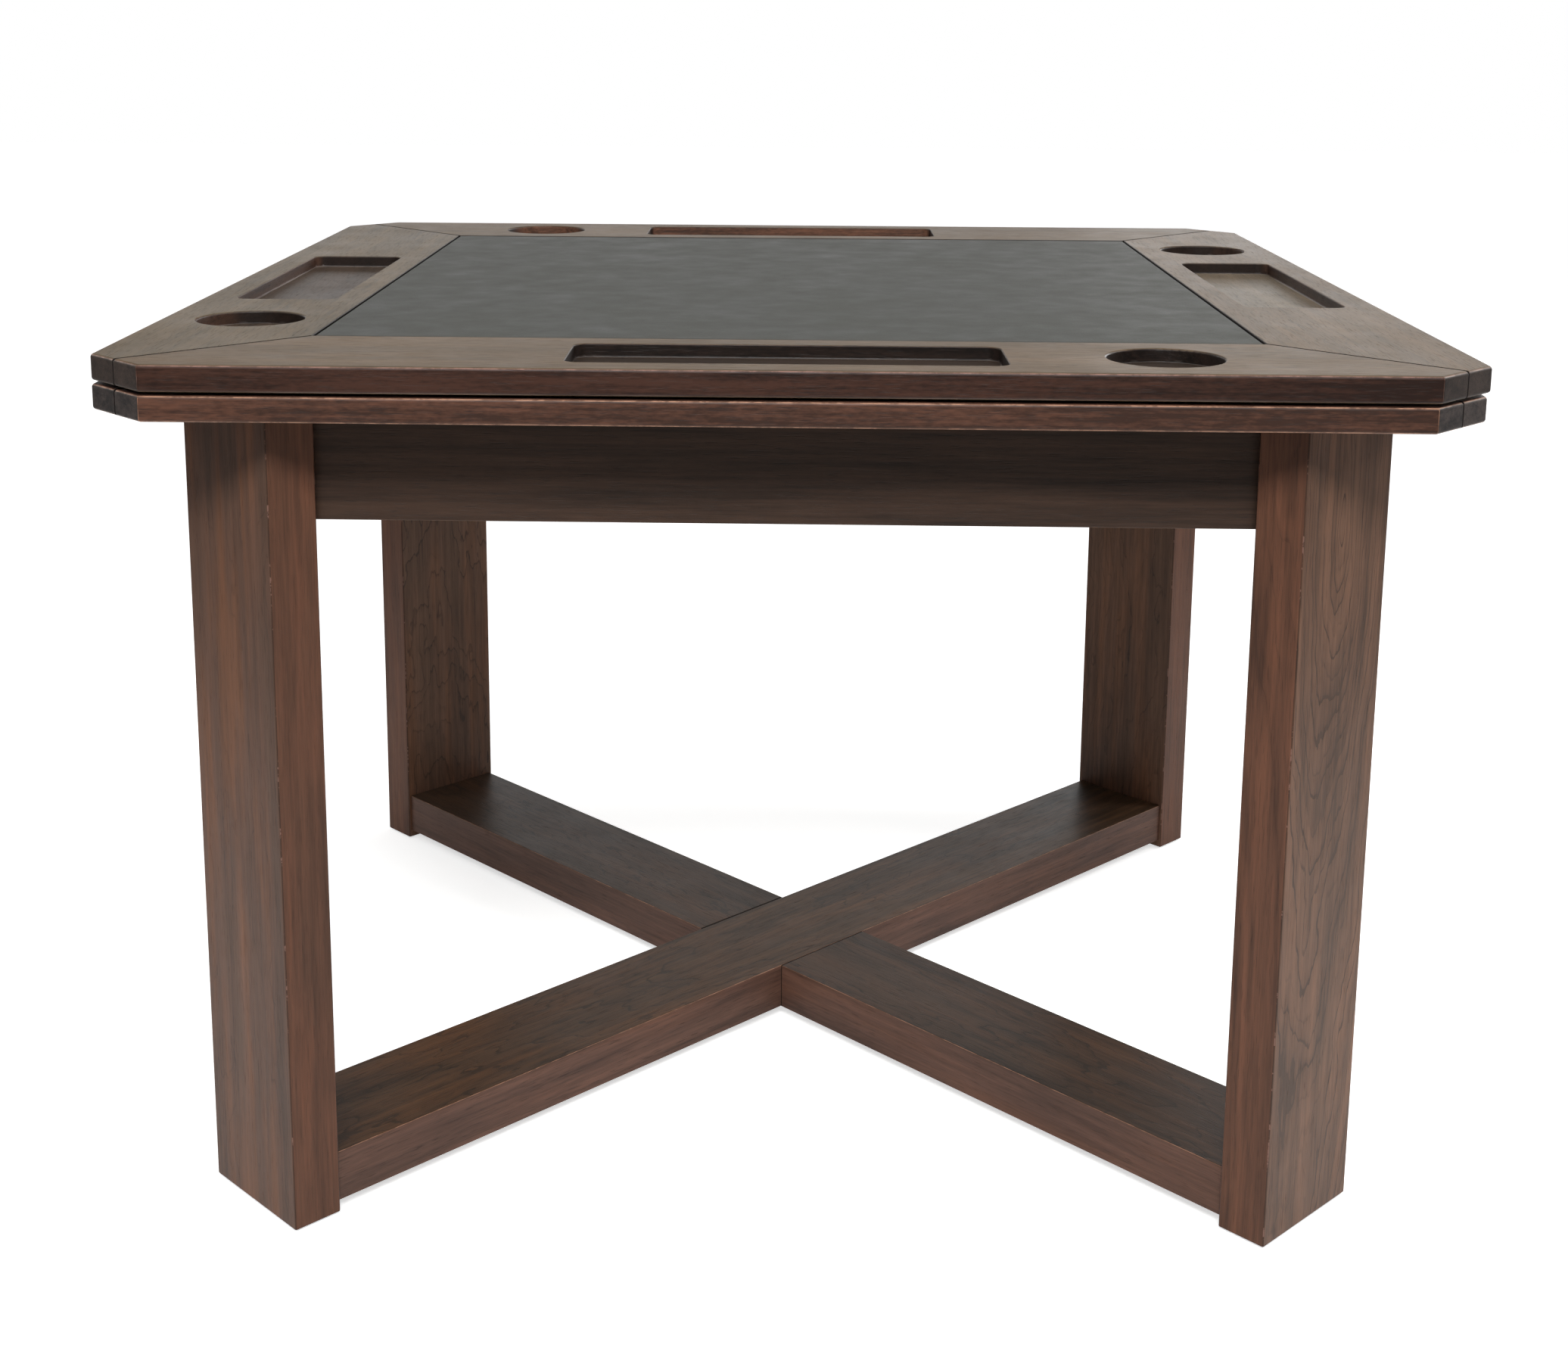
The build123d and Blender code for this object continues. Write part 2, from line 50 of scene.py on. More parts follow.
# ---- Small helpers for building node trees ----
class Tree:
    """A material's node tree, with one short method for each kind of node it needs."""

    def __init__(self, name):
        self.material = bpy.data.materials.new(name)
        self.material.use_nodes = True
        self.nodes = self.material.node_tree.nodes
        self.links = self.material.node_tree.links
        self.shader = self.nodes["Principled BSDF"]

    def plug(self, socket, value):
        """Links a socket to another node's output, or sets it to a plain value."""
        if isinstance(value, bpy.types.NodeSocket):
            self.links.new(value, socket)
        else:
            socket.default_value = value

    def add(self, kind, **settings):
        made = self.nodes.new(kind)
        for key, value in settings.items():
            setattr(made, key, value)
        return made

    def math(self, operation, a, b=0.0, c=0.0, clamp=False):
        made = self.add("ShaderNodeMath", operation=operation, use_clamp=clamp)
        for socket, value in zip(made.inputs, (a, b, c)):
            self.plug(socket, value)
        return made.outputs[0]

    def absolute(self, value):
        return self.math("ABSOLUTE", value)

    def vary(self, base, value, amount, clamp=False):
        """Adds a 0..1 value to a base as a change of half the amount either way."""
        return self.math("MULTIPLY_ADD", self.math("SUBTRACT", value, 0.5), amount, base, clamp)

    def vector(self, operation, a, b=(0, 0, 0)):
        made = self.add("ShaderNodeVectorMath", operation=operation)
        self.plug(made.inputs[0], a)
        self.plug(made.inputs[1], b)
        return made.outputs["Value" if operation == "LENGTH" else "Vector"]

    def turn(self, vector, rotation=(0, 0, 0), scale=(1, 1, 1)):
        """Scales a vector, then turns it."""
        made = self.add("ShaderNodeMapping", vector_type="POINT")
        self.plug(made.inputs["Vector"], vector)
        made.inputs["Rotation"].default_value = rotation
        made.inputs["Scale"].default_value = scale
        return made.outputs[0]

    def split(self, vector):
        made = self.add("ShaderNodeSeparateXYZ")
        self.plug(made.inputs[0], vector)
        return made.outputs

    def grey(self, value):
        """The same value three times, as a colour."""
        made = self.add("ShaderNodeCombineXYZ")
        for socket in made.inputs:
            self.plug(socket, value)
        return made.outputs[0]

    def noise(self, vector, scale, detail=2.0, roughness=0.5):
        made = self.add("ShaderNodeTexNoise")
        self.plug(made.inputs["Vector"], vector)
        made.inputs["Scale"].default_value = scale
        made.inputs["Detail"].default_value = detail
        made.inputs["Roughness"].default_value = roughness
        return made.outputs["Fac"]

    def noise_1d(self, value, scale, detail):
        made = self.add("ShaderNodeTexNoise", noise_dimensions="1D")
        self.plug(made.inputs["W"], value)
        made.inputs["Scale"].default_value = scale
        made.inputs["Detail"].default_value = detail
        return made.outputs["Fac"]

    def cells(self, vector, scale, feature, smooth=0.0):
        made = self.add("ShaderNodeTexVoronoi", feature=feature)
        self.plug(made.inputs["Vector"], vector)
        made.inputs["Scale"].default_value = scale
        if feature == "SMOOTH_F1":
            made.inputs["Smoothness"].default_value = smooth
        return made.outputs["Distance"]

    def fade(self, value, low, high, out_low=0.0, out_high=1.0):
        """Smoothly maps low..high to out_low..out_high, and holds both ends."""
        made = self.add("ShaderNodeMapRange", interpolation_type="SMOOTHSTEP")
        for socket, number in zip(made.inputs, (value, low, high, out_low, out_high)):
            self.plug(socket, number)
        return made.outputs[0]

    def mix(self, amount, a, b, blend="MIX"):
        made = self.add("ShaderNodeMix", data_type="RGBA", blend_type=blend)
        self.plug(made.inputs["Factor"], amount)
        self.plug(made.inputs["A"], a)
        self.plug(made.inputs["B"], b)
        return made.outputs["Result"]

    def bump(self, height, distance, strength=1.0):
        made = self.add("ShaderNodeBump")
        made.inputs["Distance"].default_value = distance
        made.inputs["Strength"].default_value = strength
        self.plug(made.inputs["Height"], height)
        return made.outputs[0]

    def coordinates(self, output="Object"):
        return self.add("ShaderNodeTexCoord").outputs[output]

    def finish(self, **inputs):
        """Sets the shader's inputs, by their names with underscores for spaces."""
        for key, value in inputs.items():
            self.plug(self.shader.inputs[key.replace("_", " ")], value)
        return self.material


def rgb(red, green, blue):
    return (red, green, blue, 1.0)


def shaded(colour, factors):
    """A colour with each channel scaled."""
    return rgb(*(channel * factor for channel, factor in zip(colour, factors)))


# ---- Wood ----
# Every board is cut from a log of its own: growth rings are shells round a pith line that runs along
# the board, so its faces, edges and ends agree. In a board's own axes X runs along the grain, Y goes
# through its edges and Z through its faces.
LIGHTER = (1.46, 1.33, 1.23)
DARKER = (0.53, 0.54, 0.55)
# Arris colours: partly wood bared through the stain, partly painted highlight standing in for light caught by
# the rounded arrises.
COPPER_WEAR_AND_HIGHLIGHT, PINK_WEAR_AND_HIGHLIGHT, END_WEAR_AND_HIGHLIGHT = rgb(0.52, 0.28, 0.18), rgb(0.25, 0.135, 0.105), rgb(0.30, 0.24, 0.20)
# The dark stain colour also paints the shade in the gap at a top rail's opening.
STAIN_AND_GAP_SHADE, PORE = rgb(0.010, 0.007, 0.006), rgb(0.012, 0.009, 0.008)
# A painted highlight for the line where the pockets' walls meet their floors.
COVE_HIGHLIGHT = rgb(0.42, 0.37, 0.34)
AMBER, OLIVE = rgb(1.36, 1.12, 0.84), rgb(0.76, 0.84, 0.86)
POCKET_MARGIN = 28 * MM     # from a top rail's outer edge to just outside its tray and cup well
COVE_TOP, COVE_BOTTOM = -9 * MM, -10 * MM
HALF_DIAGONAL = math.sqrt(0.5)


class Log:
    """Where a board's pith line ran: to one side, below, and drifting away from the board along it."""

    def __init__(self, across, depth, slope=0.05, bow=0.0, wavy=0.026):
        self.across, self.depth, self.slope = across, depth, slope
        self.bow, self.wavy = bow, wavy
        self.ring = 4.6 * MM


class Rail:
    """Where a square frame's middle is, at its top face, and where its rails' pockets and opening begin."""

    # Pocket wall and floor tones are the stain with painted light and shade: the inner wall is painted darker
    # as shaded, and each side's floor and outer wall are lighter or darker by how light falls in that pocket.
    inner_wall_shade = rgb(0.017, 0.0115, 0.0095)

    def __init__(self, kind, floor=None, outer_wall_light_and_shade=None):
        low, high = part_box(kind + "_rail_front")
        self.centre = ((low.x + high.x) / 2, 0, high.z)
        self.pockets, self.opening = low.y + POCKET_MARGIN, high.y
        self.floor, self.outer_wall_light_and_shade = floor, outer_wall_light_and_shade


class Board:
    """A board's own axes within its material, and how far each point is on an edge or an end."""

    def __init__(self, tree, angle, upright, seed, centre):
        turn = self.grain_turn(angle, upright)
        here = tree.turn(tree.vector("SUBTRACT", tree.coordinates(), centre), turn)
        self.tree = tree
        self.at = tree.split(here)
        self.side = tree.split(tree.turn(tree.coordinates("Normal"), turn))
        self.place = tree.vector("ADD", here, (seed * 1.7, seed * 0.31, seed * 0.13))
        self.on_edge = tree.fade(tree.absolute(self.side["Y"]), 0.60, 0.85)
        self.on_end = tree.fade(tree.absolute(self.side["X"]), 0.35, 0.65)

    @staticmethod
    def grain_turn(angle, upright):
        """The turn that brings a board's grain to +X: about Z for level boards, and then down for posts."""
        level = Matrix.Rotation(math.radians(-angle), 3, "Z")
        tip = Matrix.Rotation(math.radians(90), 3, "Y") if upright else Matrix.Identity(3)
        return (tip @ level).to_euler("XYZ")

    def grain(self, along, across, detail=2.0, roughness=0.5):
        """Noise drawn out along the grain, from its scales along and across it."""
        stretched = self.tree.turn(self.place, scale=(along, across, across))
        return self.tree.noise(stretched, 1.0, detail, roughness)

    def by_edge(self, face_value, edge_value):
        """One value on the faces and another on the edges."""
        return self.tree.fade(self.on_edge, 0, 1, face_value, edge_value)


def growth_rings(t, board, log):
    """How dark the late wood of each year is, and a number that changes slowly from year to year."""
    sway = board.grain(1.9, 6)
    down = t.math("MULTIPLY_ADD", board.at["X"], log.slope, t.math("ADD", board.at["Z"], log.depth))
    down = t.vary(down, sway, 0.07)
    if log.bow:
        bend = t.math("MULTIPLY", board.at["X"], board.at["X"])
        down = t.math("MULTIPLY_ADD", bend, -log.bow, down)
    side = t.vary(t.math("ADD", board.at["Y"], log.across), sway, 0.05)
    radius = t.math("SQRT", t.math("ADD", t.math("MULTIPLY", down, down), t.math("MULTIPLY", side, side)))
    radius = t.vary(radius, board.grain(45, 170), log.wavy * 0.15)
    radius = t.vary(radius, board.grain(11, 34), log.wavy)
    count = t.math("DIVIDE", radius, log.ring)
    season = t.math("FRACT", count)
    line = t.math("MULTIPLY", t.fade(season, 0.80, 0.93), t.fade(season, 1.0, 0.97))
    late = t.math("MULTIPLY_ADD", t.math("POWER", season, 3.0), 0.35, line)
    year = t.noise_1d(t.math("FLOOR", count), 3.7, 0.0)
    late = t.math("MULTIPLY", late, t.fade(year, 0.35, 0.62, 0.15, 1.0))
    return t.math("MULTIPLY", late, board.by_edge(1.0, 0.15)), t.noise_1d(count, 0.31, 2.0)


def arrises(t, side, clipped):
    """One along the middle of the rounded arrises, where the normal is furthest from every face's."""
    x, y, z = (t.absolute(side[axis]) for axis in "XYZ")
    nearest = t.math("MAXIMUM", x, t.math("MAXIMUM", y, z))
    if not clipped:
        return t.fade(nearest, 0.93, 0.83)
    nearest = t.math("MAXIMUM", nearest, t.math("MULTIPLY", t.math("ADD", x, y), HALF_DIAGONAL))
    upright = t.math("MULTIPLY", t.fade(nearest, 0.958, 0.932), t.fade(z, 0.4, 0.2))
    return t.math("MAXIMUM", t.fade(nearest, 0.89, 0.79), upright)


def joint_line(t, board, rail, lap):
    """One on the line of a rail's mitres, or on the edges of the half-lap, and none elsewhere."""
    if rail:
        off_diagonal = t.math("SUBTRACT", t.absolute(board.at["X"]), t.absolute(board.at["Y"]))
        distance = t.math("MULTIPLY", t.absolute(off_diagonal), HALF_DIAGONAL)
    elif lap:
        distance = t.absolute(t.math("SUBTRACT", t.absolute(board.at["X"]), lap))
    else:
        return 0.0
    narrowed = t.math("MULTIPLY", distance, t.fade(t.absolute(board.side["Z"]), 0.7, 0.3, 1.0, 1.8))
    return t.fade(narrowed, 2.1 * MM, 1.0 * MM)


def wood_tone(t, board, late, age, fibre, cloud, figure, contrast, edge_contrast, edge_lean, speckled):
    """How light the wood is at each point, from 0 to 1, before it is stained."""
    tone = t.vary(0.0, board.grain(2.6, 100, 4.0, 0.6), 1.7)
    tone = t.vary(tone, fibre, 1.7)
    tone = t.vary(tone, age, 1.1 * figure)
    tone = t.vary(tone, cloud, 1.5)
    tone = t.math("MULTIPLY_ADD", late, -0.9 * figure, tone)
    if edge_lean:
        tone = t.math("MULTIPLY_ADD", board.at["X"], t.math("MULTIPLY", board.on_edge, edge_lean), tone)
    if speckled:
        speckle = board.grain(110, 430, 2.0, 0.6)
        tone = t.vary(tone, speckle, t.math("MULTIPLY", board.on_edge, 1.3))
    return t.math("MULTIPLY_ADD", tone, board.by_edge(contrast, edge_contrast), 0.56, clamp=True)


def stained_colour(t, board, tone, face, edge, end, on_end, rail, sunk):
    """The stain takes differently on faces, on edges and on end grain; in recesses it takes each pocket's
    floor and wall tones, which hold painted light and shade.
    """
    light = t.mix(board.on_edge, shaded(face, LIGHTER), shaded(edge, LIGHTER))
    dark = t.mix(board.on_edge, shaded(face, DARKER), shaded(edge, DARKER))
    if sunk:
        wall = t.mix(t.fade(board.side["Y"], 0.3, 0.8), rail.inner_wall_shade, rail.outer_wall_light_and_shade)
        lit_and_shaded_pocket = t.mix(t.fade(t.absolute(board.side["Z"]), 0.9, 0.5), rail.floor, wall)
        light = t.mix(sunk, light, t.mix(1.0, lit_and_shaded_pocket, rgb(*LIGHTER), "MULTIPLY"))
        dark = t.mix(sunk, dark, t.mix(1.0, lit_and_shaded_pocket, rgb(*DARKER), "MULTIPLY"))
    light = t.mix(on_end, light, shaded(end, LIGHTER))
    dark = t.mix(on_end, dark, shaded(end, DARKER))
    return t.mix(tone, dark, light)


def heartwood(t, board, colour, amber):
    """Warmer and cooler streaks where heartwood and sapwood meet."""
    heart = board.grain(2.4, 30, 3.0, 0.6)
    amount = board.by_edge(amber, amber * 0.6)
    colour = t.mix(t.math("MULTIPLY", t.fade(heart, 0.48, 0.66), amount), colour, AMBER, "MULTIPLY")
    return t.mix(t.math("MULTIPLY", t.fade(heart, 0.52, 0.38), amount), colour, OLIVE, "MULTIPLY")


def wear_highlight_and_shade(t, board, colour, cloud, wear_highlight_colour, wear, stained, on_end, rail, outside):
    """Stain gathered along the arrises; spots of bared wood along them, partly painted highlight; a painted
    highlight along the trays' coves; and painted shade at the rail's opening.
    """
    line = arrises(t, board.side, clipped=bool(rail))
    if stained:
        colour = t.mix(t.math("MULTIPLY", line, stained), colour, STAIN_AND_GAP_SHADE)
    spots = t.noise(board.place, 60.0, 4.0, 0.7)
    # Where the arris colour goes on: spots of bared wood, partly painted highlight.
    rubbed_and_highlit = t.fade(spots, 0.56, 0.62) if stained else t.fade(spots, 0.42, 0.60, 0.35, 1.0)
    rubbed_and_highlit = t.math("MULTIPLY", t.math("MULTIPLY", line, rubbed_and_highlit), wear)
    if rail and rail.floor:
        rubbed_and_highlit = t.math("MULTIPLY", rubbed_and_highlit, t.fade(board.side["Z"], -0.3, 0.2, 0.15, 1.0))
    colour = t.mix(t.math("MULTIPLY", rubbed_and_highlit, outside), colour, t.mix(on_end, wear_highlight_colour, END_WEAR_AND_HIGHLIGHT))
    if rail and rail.floor:
        # Painted highlight: a light line where the pockets' walls meet their floors.
        cove_highlight = t.math("MULTIPLY", line, t.fade(board.at["Z"], COVE_TOP, COVE_BOTTOM))
        colour = t.mix(t.math("MULTIPLY", cove_highlight, t.fade(cloud, 0.45, 0.6, 0.05, 0.2)), colour, COVE_HIGHLIGHT)
        # Painted shade: the rail's wall at the opening, shaded in the gap round the leather, is darkened.
        opening_shade = t.fade(board.at["Y"], rail.opening - 1.2 * MM, rail.opening, 0.0, 0.9)
        colour = t.mix(opening_shade, colour, STAIN_AND_GAP_SHADE)
    return colour


def wood(name, face, edge, end, log, angle=0.0, upright=False, seed=0.0, figure=1.0, wear_highlight_colour=COPPER_WEAR_AND_HIGHLIGHT,
         wear=0.6, stained=0.0, contrast=1.0, edge_contrast=0.8, edge_lean=0.0, amber=0.0,
         roughness=0.42, rail=None, lap=None):
    """Stained and lacquered hardwood, with a tone of its own for faces, edges and end grain."""
    t = Tree(name)
    board = Board(t, angle, upright, seed, rail.centre if rail else (0, 0, 0))
    late, age = growth_rings(t, board, log)
    fibre = board.grain(13, 340, 4.0, 0.66)
    cloud = board.grain(4, 11, 4.0, 0.6)
    pores = t.fade(board.grain(50, 1100, 1.0), 0.60, 0.70)
    outside, sunk, on_end = 1.0, None, board.on_end
    if rail:
        outside = t.fade(board.at["Y"], rail.pockets, rail.pockets + 4 * MM, 1.0, 0.0)
    if rail and rail.floor:
        below = t.fade(board.at["Z"], -0.3 * MM, -1.6 * MM)
        sunk = t.math("MULTIPLY", below, t.math("SUBTRACT", 1.0, outside))
        on_end = t.math("MULTIPLY", on_end, t.math("SUBTRACT", 1.0, sunk))

    strengths = (figure, contrast, edge_contrast, edge_lean)
    tone = wood_tone(t, board, late, age, fibre, cloud, *strengths, speckled=bool(rail))
    colour = stained_colour(t, board, tone, face, edge, end, on_end, rail, sunk)
    if amber:
        colour = heartwood(t, board, colour, amber)
    colour = t.mix(t.math("MULTIPLY", pores, 0.36 * contrast), colour, PORE)
    colour = wear_highlight_and_shade(t, board, colour, cloud, wear_highlight_colour, wear, stained, on_end, rail, outside)
    seam = joint_line(t, board, rail, lap)
    colour = t.mix(seam, colour, STAIN_AND_GAP_SHADE)

    gloss = t.vary(roughness, t.noise(board.place, 18.0, 4.0, 0.6), 0.16)
    gloss = t.math("MULTIPLY_ADD", pores, 0.12, gloss)
    gloss = t.math("MULTIPLY_ADD", seam, 0.6, gloss, clamp=True)
    relief = t.math("MULTIPLY_ADD", pores, -0.7, t.math("MULTIPLY", fibre, 0.6))
    relief = t.math("MULTIPLY_ADD", late, -0.2, relief)
    relief = t.math("MULTIPLY_ADD", seam, -6.0, relief)
    return t.finish(
        Base_Color=colour,
        Roughness=gloss,
        Normal=t.bump(relief, 0.12 * MM, 0.8),
        IOR=1.5,
        Specular_IOR_Level=0.24,
    )


def dress(node, material):
    """Gives a CAD node its material."""
    for slot in nodes[node].material_slots:
        slot.material = material


TOP_FACE, TOP_EDGE = rgb(0.098, 0.067, 0.037), rgb(0.041, 0.0195, 0.0140)
OLIVE_RAIL = (0.94, 1.03, 1.10)
FRAME_EDGE = rgb(0.086, 0.042, 0.029)
CLIP_END, FRAME_CLIP = rgb(0.050, 0.040, 0.036), rgb(0.056, 0.049, 0.048)
APRON_FACE = rgb(0.048, 0.030, 0.022)
LEG_FACE, LEG_EDGE = rgb(0.144, 0.082, 0.055), rgb(0.118, 0.055, 0.034)
STRETCHER_EDGE = rgb(0.110, 0.061, 0.046)
TOP_EDGE_LEAN, FRAME_EDGE_LEAN = -0.30, -0.75
LAP_HALF = 62 * MM
PITH_BEHIND_LEGS = 0.735

# Painted light and shade: each side's pocket floor and outer wall get their own tone, lighter where light
# falls in that pocket and darker where it is shaded.
POCKET_LIGHT_AND_SHADE = {
    "front": {"floor": rgb(0.032, 0.022, 0.016), "outer_wall_light_and_shade": rgb(0.055, 0.029, 0.020)},
    "right": {"floor": rgb(0.128, 0.106, 0.078), "outer_wall_light_and_shade": rgb(0.040, 0.024, 0.018)},
    "back": {"floor": rgb(0.053, 0.038, 0.027), "outer_wall_light_and_shade": rgb(0.130, 0.066, 0.044)},
    "left": {"floor": rgb(0.050, 0.036, 0.026), "outer_wall_light_and_shade": rgb(0.050, 0.028, 0.020)},
}
LEGS = {
    "front_left": {
        "log": Log(0.05, PITH_BEHIND_LEGS, 0.03),
        "tone": (0.90, 0.88, 0.92), "figure": 0.35, "amber": 0.8, "contrast": 0.55,
    },
    "front_right": {
        "log": Log(0.020, PITH_BEHIND_LEGS, 0.0, bow=0.15, wavy=0.015),
        "tone": (1.04, 1.04, 1.04), "figure": 1.6, "amber": 0.15, "contrast": 0.75,
    },
    "back_right": {
        "log": Log(0.07, PITH_BEHIND_LEGS, 0.04),
        "tone": (1.0, 1.0, 1.0), "figure": 0.4, "amber": 0.4, "contrast": 0.8,
    },
    "back_left": {
        "log": Log(-0.02, PITH_BEHIND_LEGS, 0.08),
        "tone": (1.0, 1.0, 1.0), "figure": 0.6, "amber": 0.5, "contrast": 0.8,
    },
}
STRETCHERS = {
    "upper": {"towards": "front_left", "face": rgb(0.062, 0.034, 0.0180), "seed": 31.2, "lap": None},
    "lower": {"towards": "front_right", "face": rgb(0.045, 0.0255, 0.0150), "seed": 37.2, "lap": LAP_HALF},
}


def dress_frames():
    """The rails of the loose top and of the frame under it, and the aprons."""
    frame_rails = Rail("frame")
    for number, (side, angle) in enumerate(SIDES.items()):
        top = Rail("top", **POCKET_LIGHT_AND_SHADE[side])
        front = side == "front"
        face = shaded(TOP_FACE, OLIVE_RAIL) if side == "left" else TOP_FACE
        dress("top_rail_" + side, wood(
            "walnut_top_" + side, face, TOP_EDGE, CLIP_END, Log(0.35, 0.16), angle, seed=3.1 + number,
            figure=0.5, wear_highlight_colour=PINK_WEAR_AND_HIGHLIGHT, wear=0.9, contrast=0.55, edge_contrast=1.2,
            edge_lean=TOP_EDGE_LEAN if front else 0.0, rail=top))
        dress("frame_rail_" + side, wood(
            "walnut_frame_" + side, FRAME_EDGE, FRAME_EDGE, FRAME_CLIP, Log(0.50, 0.09, 0.03), angle,
            seed=8.3 + number, figure=0.5, wear=0.85, edge_contrast=1.2,
            edge_lean=FRAME_EDGE_LEAN if front else 0.0, rail=frame_rails))
        dress("apron_" + side, wood(
            "walnut_apron_" + side, APRON_FACE, APRON_FACE, CLIP_END, Log(0.50, -0.60, 0.04), angle,
            seed=14.9 + number, figure=0.4, wear=0.3))
    dress("dining_panel", wood(
        "walnut_panel", TOP_FACE, TOP_FACE, CLIP_END, Log(0.1, -0.66), seed=41.8, wear=0.2))


def dress_legs_and_stretchers():
    for number, (corner, leg) in enumerate(LEGS.items()):
        dress("leg_" + corner, wood(
            "walnut_leg_" + corner, shaded(LEG_FACE, leg["tone"]), LEG_EDGE, CLIP_END, leg["log"],
            CORNERS[corner], upright=True, seed=21.7 + number, figure=leg["figure"], wear_highlight_colour=PINK_WEAR_AND_HIGHLIGHT,
            wear=0.8, stained=0.6, contrast=leg["contrast"], edge_contrast=0.7, amber=leg["amber"]))
    for name, board in STRETCHERS.items():
        dress("stretcher_" + name, wood(
            "walnut_stretcher_" + name, board["face"], STRETCHER_EDGE, CLIP_END, Log(0.01, 0.05),
            CORNERS[board["towards"]], seed=board["seed"], figure=0.9, wear=0.75, edge_contrast=0.7,
            amber=0.5, lap=board["lap"]))


def dress_hidden_wood():
    """Unfinished blocks, splines and dowels, and the bare plywood board."""
    pale, cut = rgb(0.44, 0.30, 0.17), rgb(0.28, 0.18, 0.10)
    stained, stained_end = rgb(0.13, 0.075, 0.045), rgb(0.07, 0.042, 0.028)
    log = Log(0.0, -0.6, 0.1)
    for number, (corner, angle) in enumerate(CORNERS.items()):
        dress("corner_block_" + corner, wood(
            "stained_block_" + corner, stained, stained, stained_end, log, angle + 90, seed=51.5 + number,
            wear=0.0, roughness=0.62))
    for number, node in enumerate(("top_splines", "frame_splines", "stretcher_dowels", "playing_board")):
        dress(node, wood(
            "raw_" + node, pale, pale, cut, log, 45, seed=61.5 + number, wear=0.0, roughness=0.62))


# ---- Metal, rubber, nylon and foam ----
DUST = rgb(0.10, 0.095, 0.09)


def metal(name, colour, roughness):
    """Plated steel with fine wear."""
    t = Tree(name)
    place = t.coordinates()
    grain = t.noise(place, 900.0, 3.0, 0.6)
    dulled = t.fade(t.noise(place, 60.0, 3.0, 0.6), 0.35, 0.7)
    return t.finish(
        Base_Color=t.mix(dulled, colour, shaded(colour, (0.7, 0.7, 0.7))),
        Metallic=1.0,
        Roughness=t.math("MULTIPLY_ADD", grain, 0.2, roughness - 0.1),
        Normal=t.bump(grain, 0.02 * MM),
    )


def moulded(name, colour, roughness, grain_scale):
    """Matt rubber, nylon or foam with a fine moulded grain."""
    t = Tree(name)
    place = t.coordinates()
    grain = t.noise(place, grain_scale, 3.0, 0.6)
    dusty = t.fade(t.noise(place, 40.0, 3.0, 0.5), 0.4, 0.8, 0.0, 0.35)
    return t.finish(
        Base_Color=t.mix(dusty, colour, DUST),
        Roughness=t.math("MULTIPLY_ADD", grain, 0.2, roughness - 0.1),
        Normal=t.bump(grain, 0.05 * MM),
    )


def dress_small_parts():
    zinc = metal("zinc_plated_steel", rgb(0.56, 0.57, 0.58), 0.34)
    yellow = metal("yellow_plated_steel", rgb(0.55, 0.45, 0.24), 0.38)
    nylon = moulded("black_nylon", rgb(0.025, 0.025, 0.026), 0.5, 700.0)
    rubber = moulded("black_rubber", rgb(0.018, 0.018, 0.018), 0.75, 900.0)
    foam = moulded("grey_foam", rgb(0.20, 0.20, 0.20), 0.9, 1500.0)
    for group in ("leg", "stretcher"):
        for kind in ("bolts", "washers", "nuts"):
            dress(group + "_" + kind, zinc)
    dress("foot_inserts", zinc)
    for screws in ("block_screws", "frame_screws", "lap_screws"):
        dress(screws, yellow)
    for corner in CORNERS:
        dress("foot_stem_" + corner, zinc)
        dress("foot_pad_" + corner, nylon)
    dress("bumper_pads", rubber)
    dress("foam_underlay", foam)


# ---- Leather ----
LEATHER_DARK, LEATHER_LIGHT = rgb(0.019, 0.0200, 0.0150), rgb(0.048, 0.0492, 0.0390)
LEATHER_PEBBLE, LEATHER_ROLL_SHADE = rgb(0.02, 0.02, 0.019), rgb(0.006, 0.006, 0.006)


def leather():
    """Charcoal leather: pebbled grain, fine creases and faint clouds in the dye, and painted shade where it
    turns down into the gap.
    """
    t = Tree("charcoal_leather")
    place = t.coordinates()
    pebbles = t.cells(place, 620.0, "SMOOTH_F1", smooth=0.35)
    creases = t.cells(place, 240.0, "DISTANCE_TO_EDGE")
    fine = t.noise(place, 1400.0, 3.0, 0.6)
    cloud = t.noise(place, 9.0, 4.0, 0.6)
    patch = t.noise(place, 30.0, 3.0, 0.55)
    rolled = t.fade(t.split(t.coordinates("Normal"))["Z"], 0.985, 0.88)
    tone = t.vary(t.vary(0.5, cloud, 1.5), patch, 1.2, clamp=True)
    colour = t.mix(tone, LEATHER_DARK, LEATHER_LIGHT)
    colour = t.mix(t.fade(pebbles, 0.35, 0.8, 0.0, 0.5), colour, LEATHER_PEBBLE)
    # Painted shade on the rolled rim, where the leather turns down into the gap.
    colour = t.mix(t.math("MULTIPLY", rolled, 0.8), colour, LEATHER_ROLL_SHADE)
    relief = t.math("MULTIPLY_ADD", t.fade(creases, 0.0, 0.10), 0.8, t.math("MULTIPLY", pebbles, -0.7))
    relief = t.math("MULTIPLY_ADD", fine, 0.25, relief)
    gloss = t.vary(t.vary(0.53, patch, 0.3), cloud, 0.3)
    gloss = t.math("MULTIPLY_ADD", rolled, 0.4, gloss, clamp=True)
    return t.finish(
        Base_Color=colour,
        Roughness=gloss,
        Normal=t.bump(relief, 0.10 * MM, 0.7),
        IOR=1.45,
        Specular_IOR_Level=0.27,
        Sheen_Weight=0.04,
        Sheen_Roughness=0.5,
    )


